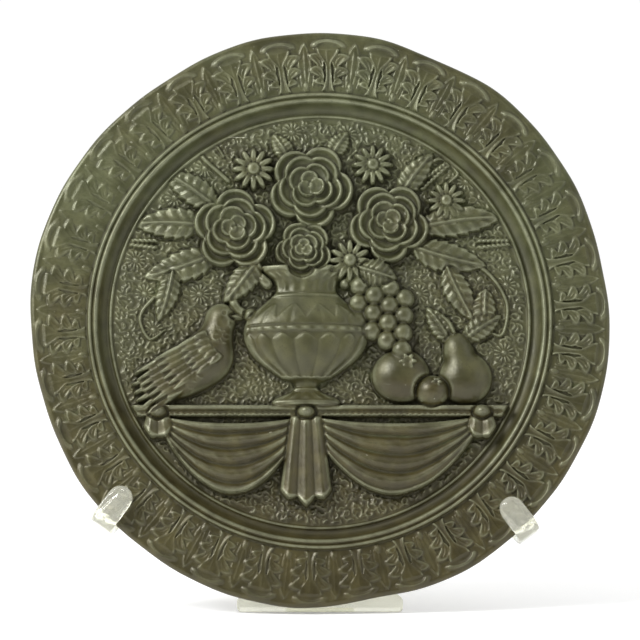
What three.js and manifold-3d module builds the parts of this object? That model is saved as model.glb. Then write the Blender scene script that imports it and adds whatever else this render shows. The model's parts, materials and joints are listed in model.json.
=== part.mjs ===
// A round cast-bronze relief plaque, leaning back on a clear acrylic easel.
//
// Millimetres, +Z up. The front looks along -Y. The origin is the middle of the underside of the
// easel's front foot, so both feet stand on Z = 0.
//
// The plaque is made in a frame of its own: x to the right, y up its face, z out of its face, with
// z = 0 on the flat border and the origin at the centre of the raised ring.

import * as THREE from "three";
import { mergeVertices } from "three/addons/utils/BufferGeometryUtils.js";
import Module from "manifold-3d";

const wasm = await Module();
wasm.setup();

// ---------------------------------------------------------------- driving dimensions

const RIM_RADIUS = 125.8; // outer edge before its knocks
const EDGE_THICKNESS = 3.2; // the casting at its outer edge
const RING_RADIUS = 99.9; // crest of the raised ring inside the border
const FIELD_RADIUS = 89.6; // the sunk picture field
const FIELD_DEPTH = 4; // field below the border
const WALL = 4.5; // thickness of the casting behind the field
const LEAF_COUNT = 34; // acanthus leaves round the border
const LEAF_TURN = THREE.MathUtils.degToRad(-2); // the first leaf, from straight up
const LEAN = THREE.MathUtils.degToRad(15); // plaque and easel lean back
const TABLE_GAP = 2.5; // air below the plaque
const GAP = 0.3; // between the plaque and the easel

const FIELD_Z = -FIELD_DEPTH;
const BACK_Z = FIELD_Z - WALL;
const RIM_SEGMENTS = 2 * LEAF_COUNT;
const SINK = 1.2; // how far each raised form is rooted below the surface that carries it

// The plate's front at the field's edge and the ring: [radius, height].
const FRONT_PROFILE = [
  [FIELD_RADIUS, FIELD_Z],
  [91.1, -3.1], // small bead at the foot of the hollow
  [93, -3.6], // hollow
  [97.6, 1.4], // inner fillet of the ring
  [98.8, 0.8],
  [RING_RADIUS, 1.8],
];
const BORDER_START = 101.2; // where the flat border begins
const RIM_ROUNDING = 1.2;
const BACK_SKIRT = { inner: 97, outer: 99, rise: 2 }; // the back slopes up from its flat disc
const LEAF_START = 101.8;

// A border leaf from its foot outwards: [distance, half width, crest].
const BORDER_LEAF = [
  [0, 3.6, 1.2],
  [5, 8.2, 1.6],
  [7.4, 5.2, 1.4],
  [12, 8.6, 1.8],
  [17.6, 6, 1.4],
  [20.6, 6.6, 2.2],
  [22.8, 3, 1.8],
];
const LEAF_FALL = 0.55; // share of its crest that a border leaf loses towards its edges

// The rim is a little taller than wide and sits a little high round the ring, with flats knocked
// into it and two swellings: [angle, half width, depth].
const RIM_STRETCH = 1.6;
const RIM_RISE = 1;
const RIM_KNOCKS = [
  [13, 9, 1.3],
  [66, 6, 1.6],
  [124, 13, 1.5],
  [172, 5, -0.7],
  [198, 12, 1],
  [279.5, 7, 2.4],
  [342, 6, -1],
];

// Easel: one bent acrylic sheet with two arms that end in hooks, a post, and a rear leg.
const SHEET = 4;
const ARM_WIDTH = 11;
const ARM_TILT = THREE.MathUtils.degToRad(36); // arms spread out from the middle
const HOOK_TIPS = [new THREE.Vector2(-85.7, -79), new THREE.Vector2(82.4, -83.8)]; // round tips' centres
const HOOK_FRONT = 3.2; // the lips stand this far before the border
const BEND = 2; // inner radius of the hooks' bends
const PANEL_TOP = 46; // the bend at the head
const CROTCH = 4; // where the arms leave the post
const SHOULDER = 27; // where the arms' upper edges meet the head
const POST_WIDTH = 26;
const FOOT_WIDTH = 72;
const FOOT_RISE = 6; // height of the foot's ends
const FOOT_FLARE = 22; // height at which the post has its own width
const LEG_WIDTH = 30;
const LEG_REACH = 88; // rear foot behind the front foot

// ---------------------------------------------------------------- the relief's layout

const LEDGE = { y: -40, height: 5, rise: 3.4 };

// A gadrooned urn: [height, radius] from its foot up.
const URN = { x: -6, y: -38, depth: 0.38, flutes: 11, groove: 0.07 };
const URN_PROFILE = [
  [0, 14.5],
  [3, 14],
  [7, 6],
  [10, 5.4],
  [13, 12],
  [21, 22.5],
  [30, 27],
  [38, 25.5],
  [45, 18.5],
  [50, 13.5],
  [55, 13.8],
  [59, 18.5],
  [62, 19.5],
];
const URN_FLUTED = [12, 31]; // heights between which the body is fluted
const HANDLE_PATH = [
  [24, 40],
  [30, 43],
  [32, 50],
  [28, 57],
  [22, 58],
  [17, 54],
];
const HANDLE_RADIUS = 2.4;
const HANDLE_HEIGHT = 3; // its middle above the field

// Full roses and open daisies: x, y, radius, crest above the field.
const ROSES = [
  { x: -37, y: 40, radius: 18, rise: 9, turn: 0.3 },
  { x: -4, y: 59, radius: 18.5, rise: 9.6, turn: 1.1 },
  { x: 30, y: 43, radius: 17.5, rise: 9, turn: 2.2 },
  { x: -7, y: 31, radius: 12.5, rise: 9.8, turn: 0.8 },
];
const ROSE_PETALS = 5;
const ROSE_RINGS = [
  [1, 0.42], // share of the radius, share of the crest
  [0.88, 0.68],
  [0.64, 0.6],
  [0.54, 0.88],
  [0.3, 0.82],
  [0, 1],
];
const DAISIES = [
  { x: 13, y: 26, radius: 9.5, rise: 8.4 },
  { x: -29, y: 67, radius: 9.5, rise: 5.8 },
  { x: 23, y: 69, radius: 9, rise: 5.6 },
  { x: 55, y: 53, radius: 8.5, rise: 5.4 },
];

const DAISY_PETALS = 6;
const DAISY_RINGS = [
  [1, 0.62],
  [0.8, 0.84],
  [0.36, 0.72],
  [0, 1],
];
const PETAL_NOTCH = 0.16; // depth of the notches between petals, over the flower's radius

// Leaves: base, direction in degrees, length, width, crest above the field.
const LEAVES = [
  { x: -45, y: 30, turn: 206, length: 33, width: 14, rise: 4.8 },
  { x: -49, y: 42, turn: 173, length: 32, width: 14, rise: 5 },
  { x: -45, y: 50, turn: 139, length: 28, width: 13, rise: 4.8 },
  { x: -13, y: 71, turn: 118, length: 14, width: 9, rise: 4.4 },
  { x: 5, y: 73, turn: 62, length: 13, width: 9, rise: 4.4 },
  { x: 35, y: 55, turn: 61, length: 24, width: 11, rise: 4.6 },
  { x: 43, y: 41, turn: 14, length: 36, width: 14, rise: 5 },
  { x: 40, y: 33, turn: -22, length: 33, width: 14, rise: 4.8 },
  { x: -27, y: 27, turn: 240, length: 24, width: 12, rise: 7 },
  { x: -64, y: 22, turn: 262, length: 23, width: 10, rise: 4.2 },
  { x: 55, y: 24, turn: -70, length: 27, width: 12, rise: 4.4 },
  { x: 72, y: 14, turn: -96, length: 22, width: 10, rise: 4.2 },
  { x: 62, y: -9, turn: 40, length: 20, width: 10, rise: 4.4 },
  { x: 57, y: -10, turn: 118, length: 19, width: 10, rise: 4.2 },
];

const LEAF_FOLD = 0.45; // share of a leaf's crest that its fold makes

// A bunch of grapes: rows of berries from the stalk down.
const GRAPES = { x: 19, y: 20, turn: -64, radius: 4.3, rows: [2, 3, 4, 3, 2, 1], rise: 8.6 };
const BERRY_SPACING = { along: 1.55, across: 1.75 }; // over a berry's radius
const BUNCH_FALL = 0.16; // the bunch is lower towards its sides

const APPLES = [
  { x: 35, y: -24.6, radius: 12.6, rise: 8.8 },
  { x: 48.5, y: -31.4, radius: 7.6, rise: 9 },
];
const APPLE_HEIGHT = 0.94; // over its width
const PEAR = { x: 63, y: -25.6, radius: 11.6, length: 25, turn: 104, rise: 8.4 };
const PEAR_NECK = { reach: 0.42, width: 0.58, rise: 0.8 }; // over its length, radius and rise

// A dove on the ledge, looking to the right.
const DOVE = {
  body: { x: -57, y: -22, rx: 18, ry: 10.5, turn: 32, rise: 7.4 },
  breast: { x: -49, y: -16.5, rx: 11, ry: 10.5, turn: 50, rise: 7.8 },
  neck: { x: -45.5, y: -7, rx: 9.5, ry: 6.6, turn: 68, rise: 7.2 },
  head: { x: -43, y: 1, radius: 6.6, rise: 7.4 },
  beak: { x: -38.5, y: 1.6, length: 7, width: 3.4, turn: -6, rise: 5.4 },
  wing: { x: -47, y: -12, turn: 212, length: 35, width: 16, rise: 9 },
  tail: { x: -64, y: -28, turn: 207, length: 18, width: 12, rise: 5.4 },
};

// A cloth hung along the ledge in swags between gathers, with falls at the gathers.
const GATHERS = [-70, -6, 70];
const SWAG = { y: -42, sag: [7, 35], gather: 4, folds: 4, rise: 3.2, fold: 2.6, flattest: 0.35 };
const FALLS = [
  { x: -70, width: 16, length: 15, pleats: 2 },
  { x: -6, width: 24, length: 43, pleats: 3 },
  { x: 70, width: 16, length: 15, pleats: 2 },
];
const FALL = { top: 3, rise: 4.6, pleat: 2, narrow: 0.45, shorter: 5, zigzag: 2.5 };

// ---------------------------------------------------------------- solids

// A closed geometry as a solid that can be joined and cut.
function solid(geometry) {
  const bare = geometry.index ? geometry.toNonIndexed() : geometry.clone();
  bare.deleteAttribute("normal");
  bare.deleteAttribute("uv");
  const merged = mergeVertices(bare, 1e-3);
  const corners = merged.index.array;
  const kept = [];
  for (let i = 0; i < corners.length; i += 3) {
    const [a, b, c] = corners.slice(i, i + 3);
    if (a !== b && b !== c && c !== a) kept.push(a, b, c);
  }
  return new wasm.Manifold(
    new wasm.Mesh({
      numProp: 3,
      vertProperties: merged.attributes.position.array,
      triVerts: new Uint32Array(kept),
    }),
  );
}

function geometryOf(manifold) {
  const mesh = manifold.getMesh();
  const positions = new Float32Array(mesh.numVert * 3);
  for (let i = 0; i < mesh.numVert; i++) {
    positions.set(mesh.vertProperties.subarray(i * mesh.numProp, i * mesh.numProp + 3), i * 3);
  }
  const geometry = new THREE.BufferGeometry();
  geometry.setAttribute("position", new THREE.BufferAttribute(positions, 3));
  geometry.setIndex(new THREE.BufferAttribute(mesh.triVerts, 1));
  const flat = geometry.toNonIndexed();
  flat.computeVertexNormals();
  return flat;
}

const joined = (solids) => solids.reduce((whole, next) => whole.add(next));

// Moves every vertex of a geometry to change(x, y, z).
function reshaped(geometry, change) {
  const position = geometry.attributes.position;
  for (let i = 0; i < position.count; i++) {
    position.setXYZ(i, ...change(position.getX(i), position.getY(i), position.getZ(i)));
  }
  return geometry;
}

// A solid between a curved upper surface and a flat floor. surface(u, v) gives x, y, z.
function slabUnder(surface, columns, rows, floor) {
  const block = new THREE.BoxGeometry(1, 1, 1, columns, rows, 1);
  return reshaped(block, (u, v, w) => {
    const [x, y, z] = surface(u + 0.5, v + 0.5);
    return [x, y, w > 0 ? z : floor];
  });
}

// A profile of [radius, z] revolved about z.
function turned(profile, segments) {
  const points = profile.map(([radius, z]) => new THREE.Vector2(radius, z));
  return new THREE.LatheGeometry(points, segments).rotateX(Math.PI / 2);
}

function ellipsoid({ x, y, rx, ry, turn = 0, rise }, across = 10, around = 6) {
  const ball = new THREE.SphereGeometry(1, across, around).rotateX(Math.PI / 2);
  ball.scale(rx, ry, rise).rotateZ(THREE.MathUtils.degToRad(turn));
  return solid(ball.translate(x, y, FIELD_Z));
}

// ---------------------------------------------------------------- the plaque's plate

function rimOffset(angle) {
  const degrees = (THREE.MathUtils.radToDeg(angle) + 360) % 360;
  const knocks = RIM_KNOCKS.map(([at, halfWidth, depth]) => {
    const away = Math.abs(((degrees - at + 540) % 360) - 180) / halfWidth;
    return -depth * Math.exp(-0.5 * away * away);
  });
  const up = Math.sin(angle);
  return RIM_STRETCH * up ** 2 + RIM_RISE * up + knocks.reduce((a, b) => a + b);
}

function plate() {
  const profile = [
    [0, FIELD_Z],
    ...FRONT_PROFILE,
    [BORDER_START, 0],
    [RIM_RADIUS - RIM_ROUNDING, 0],
    [RIM_RADIUS, -RIM_ROUNDING],
    [RIM_RADIUS, -EDGE_THICKNESS],
    [BACK_SKIRT.outer, BACK_Z + BACK_SKIRT.rise],
    [BACK_SKIRT.inner, BACK_Z],
    [0, BACK_Z],
  ];
  const geometry = turned(profile.reverse(), RIM_SEGMENTS);
  reshaped(geometry, (x, y, z) => {
    const radius = Math.hypot(x, y);
    const share = Math.max(0, (radius - RING_RADIUS) / (RIM_RADIUS - RING_RADIUS));
    const grown = radius > 0 ? (radius + share * rimOffset(Math.atan2(y, x))) / radius : 1;
    return [x * grown, y * grown, z];
  });
  return solid(geometry);
}

// One lobed acanthus leaf, standing on the ring with its curled tip at the rim.
function borderLeaf() {
  const last = BORDER_LEAF.length - 1;
  return slabUnder(
    (u, v) => {
      const [along, half, crest] = BORDER_LEAF[Math.round(v * last)];
      const across = 2 * u - 1;
      return [half * across, along, crest * (1 - LEAF_FALL * Math.abs(across))];
    },
    2,
    last,
    -SINK,
  );
}

function border() {
  const leaf = borderLeaf();
  const leaves = Array.from({ length: LEAF_COUNT }, (_, i) => {
    const angle = LEAF_TURN + (i * 2 * Math.PI) / LEAF_COUNT;
    const reach = 1 + Math.min(0, rimOffset(angle + Math.PI / 2)) / (RIM_RADIUS - RING_RADIUS);
    return solid(leaf.clone().scale(1, reach, 1).translate(0, LEAF_START, 0).rotateZ(angle));
  });
  return joined(leaves);
}

// ---------------------------------------------------------------- the relief

function ledge() {
  const slab = new THREE.BoxGeometry(2 * FIELD_RADIUS - 12, LEDGE.height, LEDGE.rise + SINK);
  return solid(slab.translate(0, LEDGE.y, FIELD_Z + (LEDGE.rise - SINK) / 2));
}

function urn() {
  const segments = 2 * URN.flutes;
  const points = URN_PROFILE.map(([height, radius]) => new THREE.Vector2(radius, height));
  points.unshift(new THREE.Vector2(0, 0));
  points.push(new THREE.Vector2(0, URN_PROFILE.at(-1)[0]));
  const body = new THREE.LatheGeometry(points, segments);
  reshaped(body, (x, y, z) => {
    const fluted = y > URN_FLUTED[0] && y < URN_FLUTED[1];
    const flute = Math.round((Math.atan2(x, z) * segments) / (2 * Math.PI));
    const share = fluted && flute % 2 ? 1 - URN.groove : 1;
    return [x * share, y, z * share * URN.depth];
  });
  return solid(body.translate(URN.x, URN.y, FIELD_Z));
}

function handle(side) {
  const path = HANDLE_PATH.map(
    ([x, y]) => new THREE.Vector3(URN.x + side * x, URN.y + y, FIELD_Z + HANDLE_HEIGHT),
  );
  const section = new THREE.Shape();
  section.absarc(0, 0, HANDLE_RADIUS, 0, 2 * Math.PI);
  return solid(
    new THREE.ExtrudeGeometry(section, {
      steps: 6,
      curveSegments: 5,
      bevelEnabled: false,
      extrudePath: new THREE.CatmullRomCurve3(path),
    }),
  );
}

// A rosette whose rings of petals rise and sink from its edge to its heart.
function rosette({ x, y, radius, rise, turn = 0 }, petals, rings) {
  const segments = 3 * petals;
  const profile = rings.map(([share, height]) => [share * radius, height * rise]);
  const geometry = turned([[0, -SINK], [radius, -SINK], ...profile], segments);
  reshaped(geometry, (px, py, pz) => {
    const reach = Math.hypot(px, py) / radius;
    const between = Math.abs(Math.cos((petals * Math.atan2(py, px)) / 2));
    const scallop = 1 - PETAL_NOTCH * reach * between;
    return [px * scallop, py * scallop, pz];
  });
  return solid(geometry.rotateZ(turn).translate(x, y, FIELD_Z));
}

const rose = (place) => rosette(place, ROSE_PETALS, ROSE_RINGS);

const daisy = (place) => rosette(place, DAISY_PETALS, DAISY_RINGS);

// A pointed leaf, folded along its middle; its fold fades towards the tip.
function leaf({ x, y, turn, length, width, rise }, columns = 5) {
  const direction = THREE.MathUtils.degToRad(turn);
  const blade = slabUnder(
    (u, v) => {
      const half = (width / 2) * Math.sin(Math.PI * u ** 0.8) ** 0.7;
      const across = 2 * v - 1;
      const edge = (1 - LEAF_FOLD) * (1 - 0.5 * Math.abs(2 * u - 1));
      const fold = LEAF_FOLD * (1 - Math.abs(across)) * (1 - u);
      return [length * u, half * across, rise * (edge + fold)];
    },
    columns,
    2,
    -SINK,
  );
  return solid(blade.rotateZ(direction).translate(x, y, FIELD_Z));
}

function grapes() {
  const { radius, rows, rise } = GRAPES;
  const direction = THREE.MathUtils.degToRad(GRAPES.turn);
  const berries = rows.flatMap((count, row) =>
    Array.from({ length: count }, (_, i) => {
      const along = (row + 0.6) * radius * BERRY_SPACING.along;
      const across = (i - (count - 1) / 2) * radius * BERRY_SPACING.across;
      const x = GRAPES.x + along * Math.cos(direction) - across * Math.sin(direction);
      const y = GRAPES.y + along * Math.sin(direction) + across * Math.cos(direction);
      const height = rise - Math.abs(across) * BUNCH_FALL;
      return ellipsoid({ x, y, rx: radius, ry: radius, rise: height }, 6, 4);
    }),
  );
  return joined(berries);
}

function fruit() {
  const apples = APPLES.map(({ radius, ...place }) =>
    ellipsoid({ ...place, rx: radius, ry: radius * APPLE_HEIGHT }),
  );
  const turn = THREE.MathUtils.degToRad(PEAR.turn);
  const reach = PEAR.length * PEAR_NECK.reach;
  const neck = {
    x: PEAR.x + Math.cos(turn) * reach,
    y: PEAR.y + Math.sin(turn) * reach,
    rx: reach,
    ry: PEAR.radius * PEAR_NECK.width,
    turn: PEAR.turn,
    rise: PEAR.rise * PEAR_NECK.rise,
  };
  const belly = ellipsoid({ ...PEAR, rx: PEAR.radius, ry: PEAR.radius });
  return joined([...apples, belly, ellipsoid(neck)]);
}

function dove() {
  const { body, breast, head, neck, beak, wing, tail } = DOVE;
  return joined([
    ellipsoid(body),
    ellipsoid(breast, 8),
    ellipsoid(neck, 8, 4),
    ellipsoid({ ...head, rx: head.radius, ry: head.radius }, 8, 6),
    leaf(beak, 2),
    leaf(wing),
    leaf(tail, 4),
  ]);
}

// One swag: U-shaped folds that run together at the gathers.
function swag(left, right) {
  const middle = (left + right) / 2;
  const half = (right - left) / 2;
  return solid(
    slabUnder(
      (u, v) => {
        const x = middle + half * (2 * u - 1);
        const curve = 1 - (2 * u - 1) ** 2;
        const sag = THREE.MathUtils.lerp(SWAG.sag[1], SWAG.sag[0], v) * curve;
        const start = SWAG.gather * (1 - v) * (1 - curve);
        const strength = THREE.MathUtils.lerp(SWAG.flattest, 1, curve);
        const crest = Math.round(v * 2 * SWAG.folds) % 2 ? SWAG.fold * strength : 0;
        return [x, SWAG.y - sag - start, FIELD_Z + SWAG.rise + curve + crest];
      },
      6,
      2 * SWAG.folds,
      FIELD_Z - SINK,
    ),
  );
}

// A pleated fall that widens to a zigzag hem.
function fall({ x, width, length, pleats }) {
  return solid(
    slabUnder(
      (u, v) => {
        const pleat = Math.round(u * 2 * pleats) % 2;
        const spread = THREE.MathUtils.lerp(1, FALL.narrow, v);
        const hem = length - FALL.shorter * Math.abs(2 * u - 1) - FALL.zigzag * pleat;
        const y = SWAG.y + FALL.top - hem * (1 - v);
        return [x + (u - 0.5) * width * spread, y, FIELD_Z + FALL.rise + FALL.pleat * pleat];
      },
      2 * pleats,
      2,
      FIELD_Z - SINK,
    ),
  );
}

function relief() {
  const forms = joined([
    ledge(),
    urn(),
    handle(-1),
    handle(1),
    ...LEAVES.map((place) => leaf(place)),
    ...ROSES.map(rose),
    ...DAISIES.map(daisy),
    grapes(),
    fruit(),
    dove(),
    swag(GATHERS[0], GATHERS[1]),
    swag(GATHERS[1], GATHERS[2]),
    ...FALLS.map(fall),
  ]);
  const height = 20;
  const well = new THREE.CylinderGeometry(FIELD_RADIUS, FIELD_RADIUS, height, RIM_SEGMENTS);
  return forms.intersect(solid(well.rotateX(Math.PI / 2).translate(0, 0, FIELD_Z + height / 2 - SINK)));
}

// ---------------------------------------------------------------- the easel

const panelFront = BACK_Z - GAP;
const panelBack = panelFront - SHEET;
const panelMiddle = (panelFront + panelBack) / 2;

// Where the plaque's own origin stands, so that the front foot's middle is at the world's origin.
const centreHeight = TABLE_GAP + RIM_RADIUS * Math.cos(LEAN) + EDGE_THICKNESS * Math.sin(LEAN);
const footY = -(centreHeight + panelMiddle * Math.sin(LEAN)) / Math.cos(LEAN);
const centreDepth = panelMiddle * Math.cos(LEAN) - footY * Math.sin(LEAN);
const standing = new THREE.Matrix4()
  .makeTranslation(0, centreDepth, centreHeight)
  .multiply(new THREE.Matrix4().makeRotationX(Math.PI / 2 - LEAN));

// An arm's directions: inward along it from its hook, and across it.
function armDirections(side) {
  const inward = new THREE.Vector2(-side * Math.sin(ARM_TILT), Math.cos(ARM_TILT));
  const across = new THREE.Vector2(side * Math.cos(ARM_TILT), Math.sin(ARM_TILT));
  return { inward, across };
}

// How far below its tip a hook's ledge lies, so that the rim just clears it.
function ledgeDrop(tip, side) {
  const { inward, across } = armDirections(side);
  const corners = [-1, 0, 1].map((k) => tip.clone().addScaledVector(across, (k * ARM_WIDTH) / 2));
  const clear = (point) =>
    point.length() > RIM_RADIUS + rimOffset(Math.atan2(point.y, point.x)) + GAP;
  let drop = 0;
  while (!corners.every((c) => clear(c.clone().addScaledVector(inward, -drop)))) drop += 0.05;
  return drop;
}

function armCorners(tip, side) {
  const { inward, across } = armDirections(side);
  const start = tip.clone().addScaledVector(inward, BEND - ledgeDrop(tip, side));
  return [-1, 1].map((k) => start.clone().addScaledVector(across, (k * ARM_WIDTH) / 2));
}

function panel() {
  const half = (tip, side) => [
    new THREE.Vector2((side * FOOT_WIDTH) / 2, footY - SHEET),
    new THREE.Vector2((side * FOOT_WIDTH) / 2, footY + FOOT_RISE),
    new THREE.Vector2((side * POST_WIDTH) / 2, footY + FOOT_FLARE),
    new THREE.Vector2((side * POST_WIDTH) / 2, CROTCH),
    ...armCorners(tip, side),
    new THREE.Vector2((side * LEG_WIDTH) / 2, SHOULDER),
    new THREE.Vector2((side * LEG_WIDTH) / 2, PANEL_TOP),
  ];
  const outline = [...half(HOOK_TIPS[1], 1), ...half(HOOK_TIPS[0], -1).reverse()];
  const sheet = new THREE.ExtrudeGeometry(new THREE.Shape(outline), {
    depth: SHEET,
    bevelEnabled: false,
  });
  return solid(sheet.translate(0, 0, panelBack).applyMatrix4(standing));
}

// The end of an arm, bent forward below the rim and up again before it.
function hook(tip, side) {
  const drop = ledgeDrop(tip, side);
  const low = BEND - drop;
  const front = HOOK_FRONT - BEND;
  const back = panelFront + BEND;
  const edge = new THREE.Shape();
  edge.moveTo(HOOK_FRONT + SHEET, 0);
  edge.lineTo(HOOK_FRONT, 0);
  edge.absarc(front, low, BEND, 0, -Math.PI / 2, true);
  edge.absarc(back, low, BEND, -Math.PI / 2, -Math.PI, true);
  edge.lineTo(panelFront, low + 1);
  edge.lineTo(panelBack, low + 1);
  edge.absarc(back, low, BEND + SHEET, Math.PI, 1.5 * Math.PI, false);
  edge.absarc(front, low, BEND + SHEET, -Math.PI / 2, 0, false);
  const strip = new THREE.ExtrudeGeometry(edge, {
    depth: ARM_WIDTH,
    bevelEnabled: false,
    curveSegments: 4,
  });
  strip.translate(0, 0, -ARM_WIDTH / 2).rotateY(-Math.PI / 2);
  const end = new THREE.CylinderGeometry(ARM_WIDTH / 2, ARM_WIDTH / 2, SHEET, 16);
  end.rotateX(Math.PI / 2).translate(0, 0, HOOK_FRONT + SHEET / 2);
  const placed = [strip, end].map((g) => {
    g.rotateZ(side * ARM_TILT).translate(tip.x, tip.y, 0);
    return solid(g.applyMatrix4(standing));
  });
  return joined(placed);
}

// A strip from the head of the panel back to the table, with a round bend at its top.
function rearLeg() {
  const top = new THREE.Vector3(0, PANEL_TOP, panelMiddle).applyMatrix4(standing);
  const foot = new THREE.Vector3(0, LEG_REACH, 0);
  const length = top.distanceTo(foot) + 2 * SHEET;
  const slope = Math.atan2(foot.y - top.y, top.z - foot.z);
  const strip = new THREE.BoxGeometry(LEG_WIDTH, SHEET, length).translate(0, 0, -length / 2);
  const bend = new THREE.CylinderGeometry(SHEET / 2, SHEET / 2, LEG_WIDTH, 12).rotateZ(Math.PI / 2);
  const placed = [strip, bend].map((g) => solid(g.rotateX(slope).translate(0, top.y, top.z)));
  return joined(placed);
}

function easel() {
  const whole = joined([
    panel(),
    hook(HOOK_TIPS[0], -1),
    hook(HOOK_TIPS[1], 1),
    rearLeg(),
  ]);
  const reach = 400;
  const aboveTable = new THREE.BoxGeometry(reach, reach, reach).translate(0, 0, reach / 2);
  return whole.intersect(solid(aboveTable));
}

// ---------------------------------------------------------------- the assembly

const bronze = new THREE.MeshStandardMaterial({ color: 0x4a4a35, roughness: 0.5, metalness: 0.7 });
const acrylic = new THREE.MeshStandardMaterial({
  color: 0xeef0e6,
  roughness: 0.05,
  metalness: 0,
  transparent: true,
  opacity: 0.3,
});

const plaqueMesh = new THREE.Mesh(geometryOf(joined([plate(), border(), relief()])), bronze);
plaqueMesh.name = "plaque";
plaqueMesh.position.set(0, centreDepth, centreHeight);
plaqueMesh.rotation.x = Math.PI / 2 - LEAN;

const easelMesh = new THREE.Mesh(geometryOf(easel()), acrylic);
easelMesh.name = "easel";

const group = new THREE.Group();
group.add(plaqueMesh, easelMesh);

export default group;
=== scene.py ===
"""A round cast-bronze relief plaque, leaning back on a clear acrylic easel.

The plaque is worked out in a frame of its own, in millimetres: x to the right, y up its face, z out
of its face, with z = 0 on the flat border and the origin at the centre of the raised ring. The same
named sizes as in the solid model give the same forms, with the fine carving added.
"""

import json
import math

import bpy
import numpy as np
from mathutils import Matrix, Vector

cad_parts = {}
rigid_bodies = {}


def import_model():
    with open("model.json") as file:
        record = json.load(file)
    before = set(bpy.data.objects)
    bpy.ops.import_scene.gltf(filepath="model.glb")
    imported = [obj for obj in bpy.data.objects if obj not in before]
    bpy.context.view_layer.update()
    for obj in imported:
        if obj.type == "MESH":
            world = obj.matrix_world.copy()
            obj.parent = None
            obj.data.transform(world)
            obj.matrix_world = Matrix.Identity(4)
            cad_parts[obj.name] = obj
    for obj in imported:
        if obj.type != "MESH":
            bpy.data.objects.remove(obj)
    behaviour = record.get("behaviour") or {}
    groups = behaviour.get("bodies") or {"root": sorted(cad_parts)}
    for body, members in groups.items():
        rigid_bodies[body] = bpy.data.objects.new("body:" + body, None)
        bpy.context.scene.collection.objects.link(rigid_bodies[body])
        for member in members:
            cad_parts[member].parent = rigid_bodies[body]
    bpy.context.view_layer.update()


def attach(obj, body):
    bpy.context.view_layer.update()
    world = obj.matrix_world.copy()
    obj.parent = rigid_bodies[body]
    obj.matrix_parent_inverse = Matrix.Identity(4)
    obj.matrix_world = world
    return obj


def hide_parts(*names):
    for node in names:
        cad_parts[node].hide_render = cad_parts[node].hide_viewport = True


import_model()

MM = 0.001
TURN = 2 * math.pi

# ---------------------------------------------------------------- driving dimensions

RIM_RADIUS = 125.8
EDGE_THICKNESS = 3.2
FIELD_RADIUS = 89.6
BACK_Z = -8.5
LEAF_COUNT = 34
LEAF_TURN = math.radians(-2)
LEAN = math.radians(15)
TABLE_GAP = 2.5
GAP = 0.3
SHEET = 4.0
HOOK_TIPS = ((-85.7, -79), (82.4, -83.8))
HOOK_FRONT = 3.2
ARM_WIDTH = 11
LIP_SWELL = 1.8
LIP_HOLLOW = 1.3
SEAM_RADIUS = 98.8  # the groove of the double ring, where border and field meet

# The rim is a little taller than wide and sits a little high round the ring, with flats knocked
# into it and two swellings: [angle, half width, depth].
RIM_STRETCH = 1.6
RIM_RISE = 1.0
RIM_KNOCKS = (
    (13, 9, 1.3), (66, 6, 1.6), (124, 13, 1.5), (172, 5, -0.7), (198, 12, 1),
    (279.5, 7, 2.4), (342, 6, -1),
)

# ---------------------------------------------------------------- the relief's layout

LEDGE = dict(y=-40, height=5, rise=3.4)

URN = dict(x=-6, y=-38, depth=0.38, flutes=16)
URN_PROFILE = (
    (0, 14.5), (3, 14), (7, 6), (10, 5.4), (13, 12), (21, 22.5), (30, 27),
    (38, 25.5), (45, 18.5), (50, 13.5), (55, 13.8), (59, 18.5), (62, 19.5),
)
URN_FLUTED = (12.5, 31)
HANDLE_PATH = ((24, 40), (30, 43), (32, 50), (28, 57), (22, 58), (17, 54))
HANDLE_RADIUS = 2.4

ROSES = (
    dict(x=-37, y=40, radius=18, rise=9, turn=0.3),
    dict(x=-4, y=59, radius=18.5, rise=9.6, turn=1.1),
    dict(x=30, y=43, radius=17.5, rise=9, turn=2.2),
    dict(x=-7, y=31, radius=12.5, rise=9.8, turn=0.8),
)
DAISIES = (
    dict(x=13, y=26, radius=9.5, rise=8.4),
    dict(x=-29, y=67, radius=9.5, rise=5.8),
    dict(x=23, y=69, radius=9, rise=5.6),
    dict(x=55, y=53, radius=8.5, rise=5.4),
)
LEAVES = (
    dict(x=-45, y=30, turn=206, length=33, width=14, rise=4.8, bend=-4),
    dict(x=-49, y=42, turn=173, length=32, width=14, rise=5, bend=3),
    dict(x=-45, y=50, turn=139, length=28, width=13, rise=4.8, bend=3),
    dict(x=-13, y=71, turn=118, length=14, width=9, rise=4.4, bend=1),
    dict(x=5, y=73, turn=62, length=13, width=9, rise=4.4, bend=-1),
    dict(x=35, y=55, turn=61, length=24, width=11, rise=4.6, bend=-3),
    dict(x=43, y=41, turn=14, length=36, width=14, rise=5, bend=-4),
    dict(x=40, y=33, turn=-22, length=33, width=14, rise=4.8, bend=4),
    dict(x=-64, y=22, turn=262, length=23, width=10, rise=4.2, bend=-3),
    dict(x=55, y=24, turn=-70, length=27, width=12, rise=4.4, bend=3),
    dict(x=72, y=14, turn=-96, length=22, width=10, rise=4.2, bend=2),
    dict(x=62, y=-9, turn=40, length=20, width=10, rise=4.4, bend=-2),
    dict(x=57, y=-10, turn=118, length=19, width=10, rise=4.2, bend=2),
)
FRONT_LEAVES = (dict(x=-27, y=27, turn=240, length=24, width=12, rise=7.6, bend=-3),)

GRAPES = dict(x=19, y=20, turn=-64, radius=4.3, rows=(2, 3, 4, 3, 2, 1), rise=8.6)
APPLES = (
    dict(x=35, y=-24.6, radius=12.6, rise=8.8),
    dict(x=48.5, y=-31.4, radius=7.6, rise=9.0),
)
PEAR = dict(x=63, y=-25.6, radius=11.6, length=25, turn=104, rise=8.4)

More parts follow.
